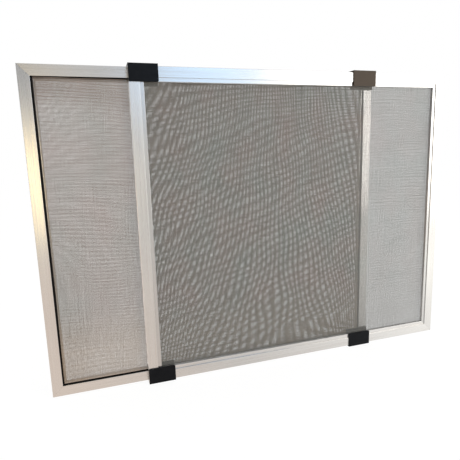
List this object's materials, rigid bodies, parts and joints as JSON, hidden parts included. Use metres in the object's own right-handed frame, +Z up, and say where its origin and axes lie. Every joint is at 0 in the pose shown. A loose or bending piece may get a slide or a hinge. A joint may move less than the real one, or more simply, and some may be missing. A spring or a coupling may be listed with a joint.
{
  "type": "extending window screen",
  "caption": "Adjustable insect screen for a window: overlapping aluminium frames with grey mesh that slide sideways on black double-channel clips.",
  "frame": {"origin": "middle of the footprint: halfway across the pictured width, between the two panels, at the underside of the bottom clips", "axes": "+X along the slide, to the right as the plain side of the front panel is seen; +Y away from the viewer, through the screen; +Z up"},
  "size_m": [0.7222, 0.022, 0.5058],
  "materials": {
    "anodised_aluminium": "satin silver anodised",
    "corner_key_nylon": "moulded nylon",
    "spline_pvc": "extruded soft PVC cord",
    "screen_cloth": "woven PVC-coated glass fibre",
    "clip_plastic": "moulded black plastic, fine satin"
  },
  "bodies": {
    "rear_panel": {"bottom_right_clip": "clip_plastic", "rear_bottom_rail": "anodised_aluminium", "rear_corner_key_bottom_left": "corner_key_nylon", "rear_corner_key_bottom_right": "corner_key_nylon", "rear_corner_key_top_left": "corner_key_nylon", "rear_corner_key_top_right": "corner_key_nylon", "rear_left_stile": "anodised_aluminium", "rear_mesh": "screen_cloth", "rear_right_stile": "anodised_aluminium", "rear_spline": "spline_pvc", "rear_top_rail": "anodised_aluminium", "top_right_clip": "clip_plastic"},
    "front_panel": {"bottom_left_clip": "clip_plastic", "front_bottom_rail": "anodised_aluminium", "front_corner_key_bottom_left": "corner_key_nylon", "front_corner_key_bottom_right": "corner_key_nylon", "front_corner_key_top_left": "corner_key_nylon", "front_corner_key_top_right": "corner_key_nylon", "front_left_stile": "anodised_aluminium", "front_mesh": "screen_cloth", "front_right_stile": "anodised_aluminium", "front_spline": "spline_pvc", "front_top_rail": "anodised_aluminium", "top_left_clip": "clip_plastic"}
  },
  "joints": [
    {"name": "panel_slide", "type": "slide", "parent": "rear_panel", "child": "front_panel", "axis": [1, 0, 0], "range_m": [-0.132, 0.335]}
  ]
}
